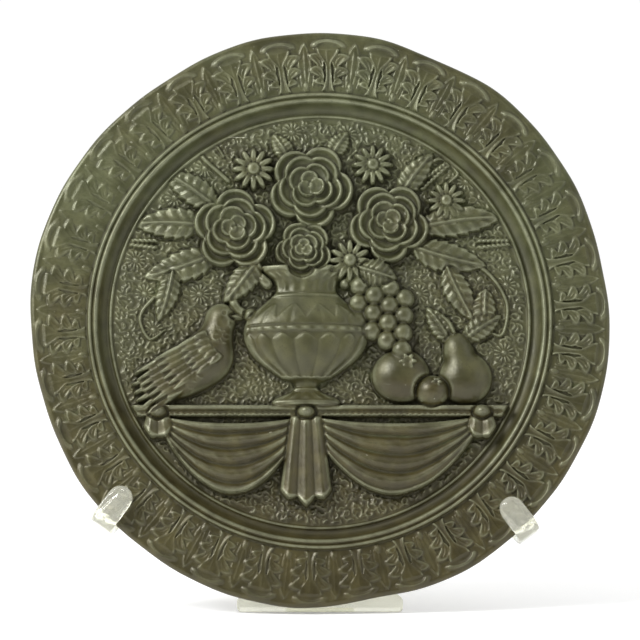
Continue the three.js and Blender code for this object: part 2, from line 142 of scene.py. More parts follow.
DOVE = dict(
    body=dict(x=-57, y=-22, rx=18, ry=10.5, turn=32),
    breast=dict(x=-49, y=-16.5, rx=11, ry=10.5, turn=50),
    neck=dict(x=-45.5, y=-7, rx=9.5, ry=6.6, turn=68),
    head=dict(x=-43, y=1, rx=6.6, ry=6.4, turn=0),
)
DOVE_RISE = 7.8
DOVE_WING = dict(x=-47, y=-12, turn=212, length=35, width=16)
DOVE_TAIL = dict(x=-64, y=-28, turn=207, length=18, width=12)
DOVE_BEAK = dict(x=-38.5, y=1.6, length=7, width=3.4, turn=-6, rise=5.4)

GATHERS = (-70, -6, 70)
SWAG = dict(y=-42, sag=(7, 35), folds=4, rise=3.2, fold=2.6)
FALLS = (
    dict(x=-70, width=16, length=15, pleats=2),
    dict(x=-6, width=24, length=43, pleats=3),
    dict(x=70, width=16, length=15, pleats=2),
)
FALL_RISE = 4.6

# ---------------------------------------------------------------- small helpers


def smooth(low, high, value):
    """0 below low, 1 above high, and an S-curve between."""
    t = np.clip((value - low) / (high - low), 0, 1)
    return t * t * (3 - 2 * t)


def bump(value, centre, width):
    return np.exp(-(((value - centre) / width) ** 2))


def blurred(values, sigma, wrap=False):
    """Gaussian blur along both axes of an array; wrap joins the first axis's ends."""
    reach = max(1, int(3 * sigma))
    offsets = np.arange(-reach, reach + 1)
    kernel = np.exp(-0.5 * (offsets / sigma) ** 2)
    kernel /= kernel.sum()
    for axis in (0, 1):
        mode = "wrap" if wrap and axis == 0 else "edge"
        pad = [(0, 0), (0, 0)]
        pad[axis] = (reach, reach)
        padded = np.pad(values, pad, mode=mode)
        size = values.shape[axis]
        parts = (
            weight * np.take(padded, np.arange(i, i + size), axis=axis)
            for i, weight in enumerate(kernel)
        )
        values = sum(parts)
    return values


def noise(x, y, size, seed, octaves=3):
    """Smooth value noise between -1 and 1 with features of about the given size."""
    total = np.zeros_like(x)
    weight_sum = 0
    for octave in range(octaves):
        cells = np.random.default_rng(seed + octave).uniform(-1, 1, (256, 256))
        u = x / size * 2**octave + 100
        v = y / size * 2**octave + 100
        i, j = np.floor(u).astype(int), np.floor(v).astype(int)
        fu, fv = u - i, v - j
        fu, fv = fu * fu * (3 - 2 * fu), fv * fv * (3 - 2 * fv)
        i0, i1, j0, j1 = i % 256, (i + 1) % 256, j % 256, (j + 1) % 256
        low = cells[i0, j0] * (1 - fu) + cells[i1, j0] * fu
        high = cells[i0, j1] * (1 - fu) + cells[i1, j1] * fu
        total += (low * (1 - fv) + high * fv) * 0.5**octave
        weight_sum += 0.5**octave
    return total / weight_sum


def rim_offset(angle):
    """How far the knocked rim lies outside its nominal circle."""
    degrees = np.degrees(angle) % 360
    offset = RIM_STRETCH * np.sin(angle) ** 2 + RIM_RISE * np.sin(angle)
    for at, half_width, depth in RIM_KNOCKS:
        away = np.abs((degrees - at + 180) % 360 - 180) / half_width
        offset = offset - depth * np.exp(-0.5 * away**2)
    wobble = 0.22 * np.sin(7 * angle + 1) + 0.15 * np.sin(13 * angle + 2.5)
    return offset + wobble + 0.08 * np.sin(29 * angle)


def spline(points, count=60):
    """A smooth curve through a few points."""
    points = np.array(points, dtype=float)
    ends = np.vstack([2 * points[0] - points[1], points, 2 * points[-1] - points[-2]])
    t = np.linspace(0, len(points) - 1 - 1e-6, count)
    i = t.astype(int)
    f = (t - i)[:, None]
    a, b, c, d = ends[i], ends[i + 1], ends[i + 2], ends[i + 3]
    return 0.5 * (2 * b + (c - a) * f + (2 * a - 5 * b + 4 * c - d) * f**2
                  + (3 * b - a - 3 * c + d) * f**3)


def cover(base, distance, height, trench=0.6, spread=1.1, edge=0.25):
    """Lay a form over a surface, with a chased line sunk round its outline."""
    cut = trench * np.clip(1 - distance / spread, 0, 1) ** 2
    weight = smooth(edge, -edge, distance)
    return (base - cut * (distance > 0)) * (1 - weight) + weight * height


# ---------------------------------------------------------------- forms, each giving distance, height


def ellipse(u, v, a, b):
    """Distance outside an ellipse, and the share of the way from its middle to its edge."""
    share = np.sqrt((u / a) ** 2 + (v / b) ** 2)
    return (share - 1) * min(a, b), share


def turned(u, v, angle):
    return u * math.cos(angle) + v * math.sin(angle), -u * math.sin(angle) + v * math.cos(angle)


def moved(place, turn, along, across=0.0):
    """A place moved along and across a turned direction."""
    x = place["x"] + along * math.cos(turn) - across * math.sin(turn)
    return x, place["y"] + along * math.sin(turn) + across * math.cos(turn)


def distance_to(points, u, v):
    """Distance from a line through points, and the share of the way along it."""
    best = np.full_like(u, 1e9)
    along = np.zeros_like(u)
    last = len(points) - 1
    for i in range(last):
        (u0, v0), (u1, v1) = points[i], points[i + 1]
        du, dv = u1 - u0, v1 - v0
        t = np.clip(((u - u0) * du + (v - v0) * dv) / (du * du + dv * dv), 0, 1)
        distance = np.hypot(u - u0 - t * du, v - v0 - t * dv)
        nearer = distance < best
        best = np.where(nearer, distance, best)
        along = np.where(nearer, (i + t) / last, along)
    return best, along


def dome(u, v, a, b, rise):
    distance, share = ellipse(u, v, a, b)
    return distance, rise * np.sqrt(np.clip(1 - (0.97 * share) ** 2, 0, 1))


def rod(u, v, points, start, end, lift):
    """A round rod along a line, tapering from one radius to another."""
    away, along = distance_to(points, u, v)
    radius = start + (end - start) * along
    return away - radius, lift + np.sqrt(np.clip(radius**2 - away**2, 0, None))


# Rings of a rose, from the outside in: petals, then place, depth and width over the rose's radius,
# and level over its rise.
ROSE_RINGS = (
    (5, 0.60, 0.41, 0.47, 0.46),
    (5, 0.43, 0.34, 0.40, 0.62),
    (4, 0.29, 0.26, 0.31, 0.78),
    (3, 0.15, 0.18, 0.21, 0.92),
)


def rose(u, v, radius, rise):
    height = np.full_like(u, 0.3 * rise)
    extent = np.full_like(u, 1e9)
    for ring, (count, place, deep, wide, level) in enumerate(ROSE_RINGS):
        for k in range(count):
            pu, pv = turned(u, v, TURN * (k / count + 0.37 * ring))
            distance, share = ellipse(pu - place * radius, pv, deep * radius, wide * radius)
            outward = (pu - place * radius) / (deep * radius)
            lip = 0.085 * radius * bump(share, 0.86, 0.17) * smooth(-0.3, 0.7, outward)
            dish = 0.05 * radius * np.clip(1 - share**2, 0, 1)
            crease = 0.25 * bump(pv, 0.02 * radius, 0.05 * radius) * smooth(0.2, 0.9, outward)
            petal = level * rise + lip - dish - crease
            height = cover(height, distance, petal, 0.55, 0.9, 0.15)
            extent = np.minimum(extent, distance)
    away = np.hypot(u, v) / radius
    spiral = 0.45 * np.cos(np.arctan2(v, u) + away * 38) * smooth(0.17, 0.06, away)
    return extent, height + spiral


def daisy(u, v, radius, rise, petals=12):
    height = np.full_like(u, 0.35 * rise)
    extent = np.full_like(u, 1e9)
    for k in range(petals):
        pu, pv = turned(u, v, TURN * k / petals)
        distance, share = ellipse(pu - 0.62 * radius, pv, 0.38 * radius, 0.15 * radius)
        groove = 0.22 * bump(pv, 0, 0.035 * radius)
        petal = 0.62 * rise + 0.1 * radius * np.sqrt(np.clip(1 - share**2, 0, 1)) - groove
        height = cover(height, distance, petal, 0.35, 0.5, 0.12)
        extent = np.minimum(extent, distance)
    distance, share = ellipse(u, v, 0.31 * radius, 0.31 * radius)
    grain = 0.16 * np.cos(u * 4.2) * np.cos(v * 4.2)
    boss = rise * (0.72 + 0.28 * np.sqrt(np.clip(1 - share**2, 0, 1))) + grain
    height = cover(height, distance, boss, 0.5, 0.6, 0.12)
    return np.minimum(extent, distance), height


def leaf(u, v, length, width, rise, bend=0.0, veins=7):
    along = np.clip(u / length, 0, 1)
    side = v - bend * along**2
    tooth = (along * veins) % 1
    half = 0.5 * width * np.sin(math.pi * along**0.8) ** 0.7 * (0.9 + 0.16 * tooth)
    half = np.maximum(half, 0.25)
    across = np.abs(side) / half
    distance = np.maximum(np.abs(side) - half, np.maximum(-u, u - length))
    body = 0.62 * (1 - 0.45 * np.abs(2 * along - 1)) + 0.38 * (1 - across**2) * (1 - 0.7 * along)
    phase = along * veins - across * 0.8
    billow = 0.3 * np.cos(TURN * phase) * np.clip(across * (1.1 - across) * 4, 0, 1)
    rib = 0.5 * bump(side, 0, 0.5) - 0.55 * bump(np.abs(side), 1.1, 0.55)
    return distance, rise * body + billow + rib * smooth(1, 0.85, along)


def urn_radius(v):
    heights, radii = np.array(URN_PROFILE, dtype=float).T
    curve = spline(np.stack([heights, radii], axis=1), 200)
    return np.interp(v, curve[:, 0], curve[:, 1])


def urn(u, v):
    top = URN_PROFILE[-1][0]
    radius = urn_radius(v)
    share = np.clip(np.abs(u) / radius, 0, 1)
    angle = np.arcsin(np.clip(u / radius, -1, 1))
    lobe = np.abs(np.cos(angle * URN["flutes"] / 2))
    body = URN["depth"] * radius * np.sqrt(np.clip(1 - (0.97 * share) ** 2, 0, 1))

    low, high = URN_FLUTED
    fluted = smooth(low - 1, low + 1.5, v) * smooth(high + 0.4, high - 0.4, v + 2.6 * (1 - lobe**2))
    body = body + fluted * (1.1 * lobe**0.55 - 0.3)

    def band(centre, width, height):
        return height * np.sqrt(np.clip(1 - ((v - centre) / width) ** 2, 0, 1))

    body = body + band(33.2, 1.5, 0.8) + band(12.3, 0.8, 0.7) + band(48.6, 1.0, 0.7)
    body = body + band(1.2, 1.3, 0.7) + band(7.6, 0.8, 0.7) + band(60.6, 1.3, 0.8)
    beads = np.cos(angle * 15) ** 2 * bump(v, 33.2, 0.9) * 0.55
    eggs = np.cos(angle * 12) ** 2 * bump(v, 57.6, 1.6) * 0.7
    lappet = np.abs((angle * 6 / math.pi) % 1 - 0.5) * 2
    petals = smooth(0.5, -0.5, v - 44.6 + 6.5 * lappet**1.6) * smooth(34.8, 35.4, v)
    petals = 0.6 * petals * (1 - 0.5 * bump(lappet, 0, 0.14))
    gorge = 0.28 * np.cos(angle * 16) * smooth(50, 51.5, v) * smooth(56.2, 54.5, v)
    tread = 0.25 * np.cos(angle * 14) * smooth(2.6, 3.4, v) * smooth(6.8, 5.5, v)
    distance = np.maximum(np.abs(u) - radius, np.maximum(-v, v - top))
    return distance, 0.8 + body + beads + eggs + petals + gorge + tread


def bird_body(u, v):
    """The dove's body, breast, neck and head as one smooth form."""
    total = np.zeros_like(u)
    for part in DOVE.values():
        pu, pv = turned(u - part["x"], v - part["y"], math.radians(part["turn"]))
        total += np.exp(-2.2 * ((pu / part["rx"]) ** 2 + (pv / part["ry"]) ** 2 - 1))
    inside = np.log(total + 1e-9) / 2.2
    return -inside * 4.5, DOVE_RISE * np.sqrt(np.clip(0.04 + inside, 0, 1.15))


def swag(u, v, left, right, seed):
    """Folds that hang between two gathers; u, v are the plaque's own x, y."""
    middle, half = (left + right) / 2, (right - left) / 2
    across = np.clip((u - middle) / half, -1, 1)
    curve = 1 - across**2
    slack = 1.1 * noise(u, v, 26, seed, 2) * curve
    hem = SWAG["y"] - SWAG["sag"][1] * curve - 4 * (1 - curve)
    top = SWAG["y"] - SWAG["sag"][0] * curve * 0.5
    share = (v + slack - hem) / np.maximum(top - hem, 0.5)
    folds = SWAG["folds"] + 0.5
    phase = np.clip(1 - share, 0, 1.5) ** 0.9 * folds + 0.35 * noise(u, v, 34, seed + 7, 2)
    ridge = 1 - np.abs(2 * (phase % 1) - 1) ** 1.7
    strength = SWAG["fold"] * (0.3 + 0.7 * curve) * smooth(-0.05, 0.12, share)
    cross = 0.35 * noise(u * 1.6 + v, v - u * 0.4, 7, seed + 3, 2) * curve
    height = SWAG["rise"] + curve * 1.2 + ridge * strength + cross
    rolled = 0.8 * bump(share * (top - hem), 1.3, 0.9)
    distance = np.maximum(np.maximum(hem - v - slack, v - top), np.abs(u - middle) - half)
    return distance, height + rolled


def fall(u, v, x, width, length, pleats):
    """Pleats that hang from a gather and spread to a zigzag hem."""
    down = np.clip((SWAG["y"] + 3 - v) / length, 0, 1)
    spread = 0.5 + 0.5 * down**0.8
    across = (u - x) / (0.5 * width * spread)
    phase = (across * 0.5 + 0.5) * pleats
    pleat = 1 - np.abs(2 * (phase % 1) - 1) ** 1.5
    hem = SWAG["y"] + 3 - length + 5 * np.abs(across) + 2.4 * (1 - pleat)
    height = FALL_RISE + 2.2 * pleat * (0.55 + 0.45 * down) - 1.0 * np.clip(np.abs(across), 0, 1) ** 3
    rolled = 0.5 * bump(v - hem, 1.2, 0.7)
    distance = np.maximum(np.abs(u - x) - 0.5 * width * spread, np.maximum(hem - v, v - SWAG["y"] - 3))
    return distance, height + rolled


# ---------------------------------------------------------------- the field, as heights on a grid


class Field:
    """Heights of the picture field above its ground, in millimetres, on a square grid."""

    def __init__(self, reach, step):
        axis = np.arange(-reach, reach + step / 2, step)
        self.reach, self.step = reach, step
        self.x, self.y = np.meshgrid(axis, axis)
        self.z = np.zeros_like(self.x)

    def window(self, x, y, radius):
        low = [int(max(0, (c - radius + self.reach) / self.step)) for c in (y, x)]
        high = [int(max(0, (c + radius + self.reach) / self.step + 2)) for c in (y, x)]
        return slice(low[0], high[0]), slice(low[1], high[1])

    def place(self, form, x=0.0, y=0.0, radius=200.0, turn=0.0, join=False, **line):
        """Lay form(u, v) over what is there, or with join, let the higher of the two show."""
        part = self.window(x, y, radius)
        u, v = turned(self.x[part] - x, self.y[part] - y, turn)
        distance, height = form(u, v)
        if join:
            height = np.maximum(height, self.z[part])
        self.z[part] = cover(self.z[part], distance, height, **line)

    def at(self, x, y):
        """Height at any points, by interpolation."""
        u = np.clip((x + self.reach) / self.step, 0, self.x.shape[1] - 1.001)
        v = np.clip((y + self.reach) / self.step, 0, self.x.shape[0] - 1.001)
        i, j = u.astype(int), v.astype(int)
        fu, fv = u - i, v - j
        low = self.z[j, i] * (1 - fu) + self.z[j, i + 1] * fu
        high = self.z[j + 1, i] * (1 - fu) + self.z[j + 1, i + 1] * fu
        return low * (1 - fv) + high * fv


CURL_SPACING = 2.15


def chase_ground(field, rng):
    """Cover the ground with short curled ridges."""
    steps = np.arange(-FIELD_RADIUS, FIELD_RADIUS, CURL_SPACING)
    for x0 in steps:
        for y0 in steps:
            x, y = x0 + rng.uniform(-0.9, 0.9), y0 + rng.uniform(-0.9, 0.9)
            turn, bow = rng.uniform(0, TURN), rng.uniform(1.1, 2.3)
            reach, rise = rng.uniform(1.2, 2.6), rng.uniform(0.7, 1.15)
            if math.hypot(x, y) > FIELD_RADIUS - 1:
                continue
            part = field.window(x, y, 4.2)
            u, v = turned(field.x[part] - x, field.y[part] - y, turn)
            ring = np.hypot(u + bow, v)
            angle = np.abs(np.arctan2(v, u + bow)) * bow
            ridge = rise * bump(ring, bow, 0.42) * smooth(reach + 0.5, reach - 0.3, angle)
            field.z[part] = np.maximum(field.z[part], ridge)


STARS = (
    (-76, 12), (-72, -4), (-63, 55), (-50, 68), (-12, 84), (12, 83), (47, 70), (70, 46),
    (81, 16), (43, 12), (-52, 12), (80, -14), (-20, 24), (64, 62), (-80, 27),
)


def star(u, v, radius=4.8, petals=13):
    angle = np.arctan2(v, u)
    away = np.hypot(u, v)
    rays = 0.5 + 0.5 * np.cos(angle * petals)
    height = 1.25 * rays**1.3 * smooth(radius, radius - 1.2, away) * smooth(1.0, 1.9, away)
    heart = 1.2 * np.sqrt(np.clip(1 - (away / 1.3) ** 2, 0, 1))
    return away - radius, height + heart + 0.05


def carve_field():
    field = Field(FIELD_RADIUS + 10, FINE_GRID)
    rng = np.random.default_rng(11)
    chase_ground(field, rng)
    for x, y in STARS:
        field.place(star, x, y, 6, rng.uniform(0, 1), trench=0.1)
    lay_sprays(field)
    lay_cloth(field)
    lay_leaves(field, LEAVES)
    for place in DAISIES[1:]:
        lay_daisy(field, place)
    lay_dove(field)
    lay_fruit(field)
    lay_urn(field)
    lay_leaves(field, FRONT_LEAVES)
    lay_daisy(field, DAISIES[0])
    for place in (ROSES[0], ROSES[2], ROSES[1], ROSES[3]):
        form = lambda u, v, p=place: rose(u, v, p["radius"], p["rise"])
        field.place(form, place["x"], place["y"], place["radius"] + 3, place["turn"], trench=0.9)
    lay_grapes(field)
    return field


def lay_daisy(field, place):
    form = lambda u, v: daisy(u, v, place["radius"], place["rise"])
    field.place(form, place["x"], place["y"], place["radius"] + 3, trench=0.7)


def lay_leaves(field, places):
    for place in places:
        size = {k: place[k] for k in ("length", "width", "rise", "bend")}
        form = lambda u, v, size=size: leaf(u, v, **size)
        reach = place["length"] + 6
        field.place(form, place["x"], place["y"], reach, math.radians(place["turn"]), trench=0.8)


TENDRILS = (
    ((-58, 20), (-70, 12), (-78, 2), (-74, -8), (-67, -4)),
    ((58, 28), (72, 22), (81, 8), (79, -6), (72, -4)),
    ((-40, 62), (-52, 74), (-46, 78), (-42, 73)),
    ((38, 62), (52, 72), (60, 66), (56, 61)),
)
WHEAT_EARS = (
    dict(x=-56, y=60, turn=138), dict(x=44, y=60, turn=40),
    dict(x=-72, y=34, turn=176), dict(x=70, y=34, turn=4),
)
GRAINS = 9  # pairs of grains in an ear


def lay_sprays(field):
    """Fine tendrils and ears of wheat on the open ground."""
    for points in TENDRILS:
        line = spline(points, 36)
        form = lambda u, v, line=line: rod(u, v, line, 1.1, 0.5, 1.2)
        field.place(form, trench=0.4)
    grain = lambda u, v: dome(u, v, 1.9, 0.95, 2.4)
    for ear in WHEAT_EARS:
        angle = math.radians(ear["turn"])
        for k in range(GRAINS):
            for side in (-1, 1):
                x, y = moved(ear, angle, 2.0 * k, side * (1.5 - 0.12 * k))
                field.place(grain, x, y, 4, angle + side * 0.35, trench=0.3, edge=0.12)


def lay_cloth(field):
    for i, (left, right) in enumerate(zip(GATHERS, GATHERS[1:])):
        form = lambda u, v, a=left, b=right, s=i: swag(u, v, a, b, 20 + 5 * s)
        field.place(form, trench=1.2, spread=1.6)
    for place in FALLS:
        form = lambda u, v, p=place: fall(u, v, **p)
        field.place(form, trench=1.0)

    def shelf(u, v):
        edge = LEDGE["height"] / 2
        profile = LEDGE["rise"] + 1.6 * smooth(-0.6, 0.2, v) - 0.5 * bump(v, 0, 0.35)
        beads = 0.5 * np.cos(u * math.pi / 2.6) ** 2 * bump(v, -1.25, 0.7)
        return np.abs(v) - edge, profile + beads + 0.8 * bump(v, 1.7, 0.6)

    field.place(shelf, 0, LEDGE["y"], trench=0.8)
    for x in GATHERS:
        bow = lambda u, v: dome(u, v, 4.2, 3.4, 8.4)
        field.place(bow, x, SWAG["y"] + 1.5, 8, trench=1.0)


def feather(u, v, length, width, rise):
    """One feather from its root at the origin, with a quill and fine barbs."""
    along = np.clip(u / length, 0, 1)
    half = 0.5 * width * np.clip(np.sin(math.pi * (0.25 + 0.72 * along)), 0.05, 1) ** 0.6
    distance = np.maximum(np.abs(v) - half, np.maximum(-u, u - length))
    quill = 0.18 * bump(v, 0, 0.25)
    barbs = 0.07 * np.cos((u - 1.1 * np.abs(v)) * 5.5)
    return distance, rise - 0.35 * (v / half) ** 2 + quill + barbs


def lay_feathers(field, place, rows):
    """Rows of feathers on a wing or tail: share along, count, length, width, spread and lift."""
    turn = math.radians(place["turn"])
    for start, count, length, width, fan, lift in rows:
        for k in range(count):
            share = (k + 0.5) / count * 2 - 1
            across = -share * place["width"] * 0.42
            along = start * place["length"] - 1.6 * abs(share)
            x, y = moved(place, turn, along, across)
            form = lambda u, v: feather(u, v, length, width, lift)
            field.place(form, x, y, length + 3, turn - share * fan, trench=0.35, spread=0.7, edge=0.15)


def lay_dove(field):
    field.place(bird_body, trench=1.0)
    rng = np.random.default_rng(5)
    for k in range(70):
        x, y = -57 + 0.29 * k + rng.uniform(-1.5, 1.5), -27 + 0.42 * k + rng.uniform(-5, 5)
        part = field.window(x, y, 3)
        u, v = turned(field.x[part] - x, field.y[part] - y, math.radians(235))
        inside = smooth(3.2, 4.6, field.z[part]) * (y < -2)
        field.z[part] += 0.28 * inside * bump(np.hypot(u + 1.2, v), 1.6, 0.3) * (u > -0.8)
    lay_feathers(field, DOVE_TAIL, ((0.0, 5, 17, 3.6, 0.24, 5.2), (-0.15, 4, 9, 3.4, 0.2, 6.0)))
    lay_feathers(field, DOVE_WING, (
        (0.42, 6, 21, 3.4, 0.10, 6.6),
        (0.24, 6, 17, 3.4, 0.16, 7.6),
        (0.10, 6, 10, 3.2, 0.22, 8.4),
        (0.0, 5, 6.5, 3.4, 0.3, 9.0),
    ))
    beak = lambda u, v: leaf(u, v, DOVE_BEAK["length"], DOVE_BEAK["width"], DOVE_BEAK["rise"])
    field.place(beak, DOVE_BEAK["x"] - 1, DOVE_BEAK["y"], 10, math.radians(DOVE_BEAK["turn"]))
    head = DOVE["head"]
    part = field.window(head["x"] + 1.6, head["y"] + 1.2, 3)
    away = np.hypot(field.x[part] - head["x"] - 1.6, field.y[part] - head["y"] - 1.2)
    field.z[part] += 0.3 * bump(away, 1.25, 0.35) - 0.5 * bump(away, 0.7, 0.25) + 0.2 * bump(away, 0, 0.4)


def lay_fruit(field):
    turn = math.radians(PEAR["turn"])
    waist = 0.42 * PEAR["length"]
    nx, ny = moved(PEAR, turn, waist)

    def pear(u, v):
        _, belly = dome(u - PEAR["x"], v - PEAR["y"], PEAR["radius"], PEAR["radius"], PEAR["rise"])
        pu, pv = turned(u - nx, v - ny, turn)
        _, neck = dome(pu, pv, waist, 0.58 * PEAR["radius"], 0.8 * PEAR["rise"])
        blend = np.log(np.exp(belly * 1.1) + np.exp(neck * 1.1)) / 1.1
        outside_belly = np.hypot(u - PEAR["x"], v - PEAR["y"]) - PEAR["radius"]
        outside_neck = ellipse(pu, pv, waist, 0.58 * PEAR["radius"])[0]
        near = np.minimum(outside_belly, outside_neck)
        webbed = -np.log(np.exp(-outside_belly) + np.exp(-outside_neck))
        return np.where(near < 3, webbed, near), blend - 0.4

    field.place(pear, trench=1.1)
    tip = moved(PEAR, turn, 2 * waist)
    stem = spline((tip, (tip[0] - 2, tip[1] + 4), (tip[0] - 5, tip[1] + 7)), 12)
    field.place(lambda u, v: rod(u, v, stem, 0.9, 0.7, 3.6), trench=0.4)
    for place in APPLES:
        r = place["radius"]
        fruit = lambda u, v, p=place: dome(u, v, p["radius"], p["radius"] * 0.94, p["rise"])
        field.place(fruit, place["x"], place["y"], r + 3, trench=1.1)

        def crown(u, v, r=r, rise=place["rise"]):
            away, angle = np.hypot(u, v), np.arctan2(v, u)
            points = r * (0.24 + 0.06 * np.cos(6 * angle))
            pit = 0.5 * bump(away, 0.2 * r, 0.08 * r) - 0.7 * bump(away, 0, 0.11 * r)
            return away - points, rise * 0.93 + pit

        field.place(crown, place["x"] + 0.25 * r, place["y"] + 0.45 * r, r, trench=0.5, spread=0.8)


def lay_urn(field):
    for side in (-1, 1):
        path = spline([(URN["x"] + side * x, URN["y"] + y) for x, y in HANDLE_PATH], 30)
        form = lambda u, v, p=path: rod(u, v, p, HANDLE_RADIUS * 0.8, HANDLE_RADIUS, 2.6)
        field.place(form, trench=0.9)
        x, y = path[0]
        field.place(lambda u, v: dome(u, v, 3.4, 3.4, 5.5), x, y, 6, trench=0.4)
    field.place(urn, URN["x"], URN["y"], 70, trench=1.2, spread=1.4)


def lay_grapes(field):
    turn = math.radians(GRAPES["turn"])
    radius = GRAPES["radius"]
    vine = dict(x=17, y=23, turn=-20, length=17, width=13, rise=8.2, bend=1)
    for row, count in enumerate(GRAPES["rows"]):
        for i in range(count):
            along, across = (row + 0.6) * radius * 1.55, (i - (count - 1) / 2) * radius * 1.75
            x, y = moved(GRAPES, turn, along, across)
            top = GRAPES["rise"] - abs(across) * 0.16
            lift = top - radius
            ball = lambda u, v, lift=lift: (
                np.hypot(u, v) - radius, lift + np.sqrt(np.clip(radius**2 - u * u - v * v, 0, None)))
            field.place(ball, x, y, radius + 2, trench=0.5, join=True)
    lay_leaves(field, (vine,))


# ---------------------------------------------------------------- ring profiles

FIELD_PROFILE = (
    (0, -4), (89.3, -4), (89.9, -3.9), (90.3, -3.2), (90.9, -2.75), (91.5, -3.1), (92.0, -3.8),
    (92.7, -4.0), (93.7, -3.6), (94.7, -2.7), (95.6, -1.4), (96.3, 0.1), (96.8, 1.1),
    (97.5, 1.5), (98.1, 1.25), (98.5, 0.8), (98.8, 0.7),
)
RING_PROFILE = (
    (98.8, 0.7), (99.1, 0.95), (99.4, 1.5), (99.9, 1.85), (100.4, 1.55), (100.8, 0.7),
    (101.1, -0.1), (101.6, -0.1), (102.4, 0),
)


# ---------------------------------------------------------------- the border, as heights round it

BORDER_MIDDLE = 112
LEAF_FOOT = 101.6
LEAF_REACH = 23  # from the ring to the leaves' tips
LEAF_HALF = math.pi * BORDER_MIDDLE / LEAF_COUNT  # half a leaf's pitch, at the middle of the border


# Each side's lobes, from the top down: place across and out, half length and width, tilt.
LOBES = (
    (4.2, 13.1, 4.9, 2.3, 62),
    (4.5, 7.9, 4.3, 2.1, 46),
    (3.8, 3.7, 2.9, 1.4, 26),
)


def acanthus(s, t):
    """Height of one lobed leaf: s across from its middle, t out from the ring."""
    side = np.abs(s)
    height = np.zeros_like(s)

    # The pointed leaf that shows between two leaves, with a bud and short veins at its foot.
    gap = side - LEAF_HALF
    half = 3.2 * np.sin(math.pi * np.clip((t + 3) / 24.8, 0, 1)) ** 0.75
    half = half * (1 - 0.35 * smooth(14, 4, t)) + 0.05
    distance = np.maximum(np.abs(gap) - half, t - 21.7)
    outline = 0.35 * bump(np.abs(gap) - half, -0.45, 0.4)
    height = cover(height, distance, 0.3 + outline + 0.3 * bump(gap, 0, 0.4), 0.15, 0.8, 0.3)
    for at in (1.5, 2.9):
        ridge = 0.55 * bump(np.abs(gap) - at - 0.12 * t, 0, 0.4)
        height = np.maximum(height, ridge * smooth(1.6, 2.6, t) * smooth(8.5, 6, t))
    distance, share = ellipse(gap, t - 2.4, 1.2, 1.9)
    height = cover(height, distance, 0.3 + 0.7 * np.sqrt(np.clip(1 - share**2, 0, 1)), 0.3, 0.7)

    # Lobes grow out of the stem, broad at their tips, each with a raised edge and a vein. Each
    # lies over the one above it.
    for across, out, length, width, tilt in LOBES:
        u, v = turned(side - across, t - out, math.radians(tilt))
        v = v + 0.09 * u**2 - 0.5
        narrow = 0.5 + 0.95 * smooth(-length, length, u)
        distance, share = ellipse(u, v / narrow, length, width)
        form = 0.8 + 0.4 * bump(distance, -0.5, 0.42) - 0.35 * smooth(-0.7, -1.6, distance)
        form = form + 0.4 * bump(v, 0, 0.4) * smooth(-0.6, -1.2, distance)
        height = cover(height, distance, form, 0.35, 0.9, 0.3)

    # The stem: a blade that spreads at its foot and under the tip, ridged along both edges, with
    # a hollow wedge between the ridges at the foot.
    half = 1.25 + 1.9 * np.exp(-np.clip(t, 0, None) / 3.2) + 3.4 * smooth(11, 18.5, t)
    distance = np.maximum(side - half, np.abs(t - 9.6) - 9.6)
    form = 0.8 + 0.4 * bump(side - half, -0.45, 0.4) + 0.25 * bump(side, 0, 0.4) * smooth(9, 11, t)
    form = form - 0.6 * smooth(half - 0.9, half - 1.9, side) * smooth(9.5, 6, t)
    height = cover(height, distance, form, 0.3, 0.9, 0.3)

    # The tip curls over forwards: a broad cap, with a deep lens-shaped hollow beneath it.
    distance, share = ellipse(s, t - 20.4, 6.9, 2.9)
    up = (t - 20.4) / 2.9
    cap = 1.2 - 0.5 * smooth(0.72, 0.98, share) - 0.35 * smooth(0.62, 0.4, share)
    height = cover(height, np.maximum(distance, -0.7 - 2.9 * up), cap, 0.3, 0.9, 0.3)
    distance, share = ellipse(s, t - 19.7, 4.8, 1.8)
    hollow = 0.1 + 0.85 * smooth(0.1, -0.95, (t - 19.7) / 1.8)
    return cover(height, distance, hollow, 0.0, 0.5, 0.3)


WORN = ((142, 26, 0.5), (262, 24, 0.42), (30, 14, 0.2), (205, 16, 0.2))  # angle, half width, amount


def wear(angle):
    """How much of the border's relief is rubbed away, 0 to 1: most at the upper left and the foot."""
    soft = 0.0
    for at, half_width, amount in WORN:
        away = np.abs((np.degrees(angle) - at + 180) % 360 - 180) / half_width
        soft = soft + amount * np.exp(-0.5 * away**2)
    return soft


def border_height(angle, radius):
    """Height of the border's front at polar points; angle and radius are arrays."""
    profile = np.interp(radius, *np.array(RING_PROFILE).T)
    turn = angle - math.pi / 2 - LEAF_TURN
    index = np.round(turn * LEAF_COUNT / TURN)
    jitter = np.random.default_rng(3).uniform(-1, 1, (3, LEAF_COUNT))[:, index.astype(int) % LEAF_COUNT]
    away = (turn - index * TURN / LEAF_COUNT) * BORDER_MIDDLE
    lean = 0.05 * jitter[0] * (radius - 101.5) + 0.5 * jitter[2] * np.sin((radius - LEAF_FOOT) / 4)
    pinch = 1 + np.clip(rim_offset(angle), -3, 0) / LEAF_REACH
    out = (radius - LEAF_FOOT) / pinch * (1 + 0.02 * jitter[1])
    sharp = acanthus(away + lean * (1 - np.abs(away) / LEAF_HALF), out)
    soft = blurred(sharp, 2.2, wrap=True)
    rubbed = wear(angle)
    leaves = (sharp * (1 - rubbed) + soft * rubbed) * (1 - 0.5 * rubbed) * (0.84 + 0.12 * jitter[2])
    inside = smooth(101.2, 101.9, radius)
    return profile + leaves * inside


# ---------------------------------------------------------------- meshes

CASTING_TRIANGLES = 194000
EASEL_TRIANGLES = 60000
FINE_GRID = 0.3
FIELD_BLUR = 0.7
VOXEL = 0.5
SMOOTHINGS = 30


